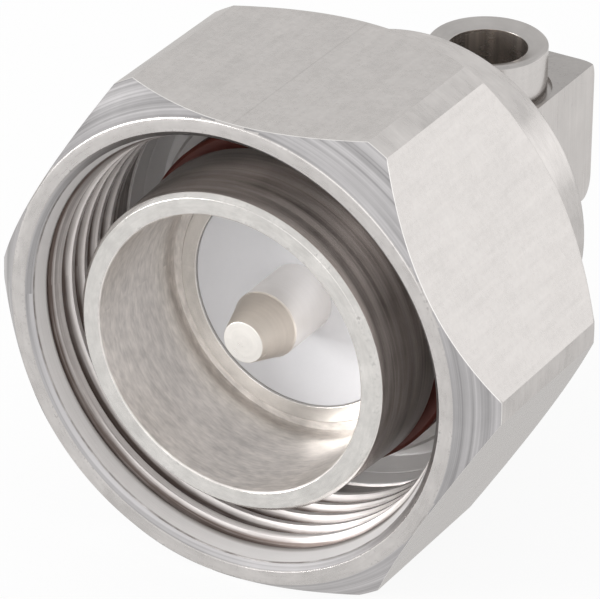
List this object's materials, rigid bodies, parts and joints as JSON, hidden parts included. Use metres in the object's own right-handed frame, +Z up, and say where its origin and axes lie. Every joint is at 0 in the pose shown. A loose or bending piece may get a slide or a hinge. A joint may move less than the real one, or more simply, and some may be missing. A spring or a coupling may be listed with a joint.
{
  "type": "right-angle coaxial connector",
  "caption": "Right-angle coaxial plug: hexagonal coupling nut around a tube with a centre pin in a white bead, and a square-sided angle body with an upright cable sleeve.",
  "frame": {"origin": "on the mating axis, in the plane of the coupling nut's front rim", "axes": "-Y out of the mating end along the mating axis; +Z up along the cable sleeve's axis; +X completes the right-handed frame"},
  "size_m": [0.0361, 0.0399, 0.032],
  "materials": {
    "plated_nut": "satin white-bronze plating with turning marks",
    "spring_bronze": "bare spring bronze",
    "plated_contact": "smooth white-bronze plating",
    "red_silicone": "matt silicone",
    "white_ptfe": "waxy white",
    "silver_pin": "satin silver plating",
    "plated_body": "satin white-bronze plating, lightly brushed"
  },
  "bodies": {
    "plug": {"outer_contact": "plated_contact", "interface_gasket": "red_silicone", "bead_bushing": "plated_contact", "front_insulator": "white_ptfe", "centre_pin": "silver_pin", "elbow_contact": "silver_pin", "rear_insulator": "white_ptfe", "angle_body": "plated_body", "rear_cap": "plated_body", "cable_sleeve": "plated_body"},
    "ring": {"retaining_ring": "spring_bronze"},
    "nut": {"coupling_nut": "plated_nut"}
  },
  "joints": [
    {"name": "nut_spin", "type": "hinge", "parent": "plug", "child": "ring", "pos_m": [0, 0.018, 0], "axis": [0, 1, 0], "continuous": true},
    {"name": "nut_play", "type": "slide", "parent": "ring", "child": "nut", "axis": [0, 1, 0], "range_m": [-0.0004, 0.0005]}
  ]
}
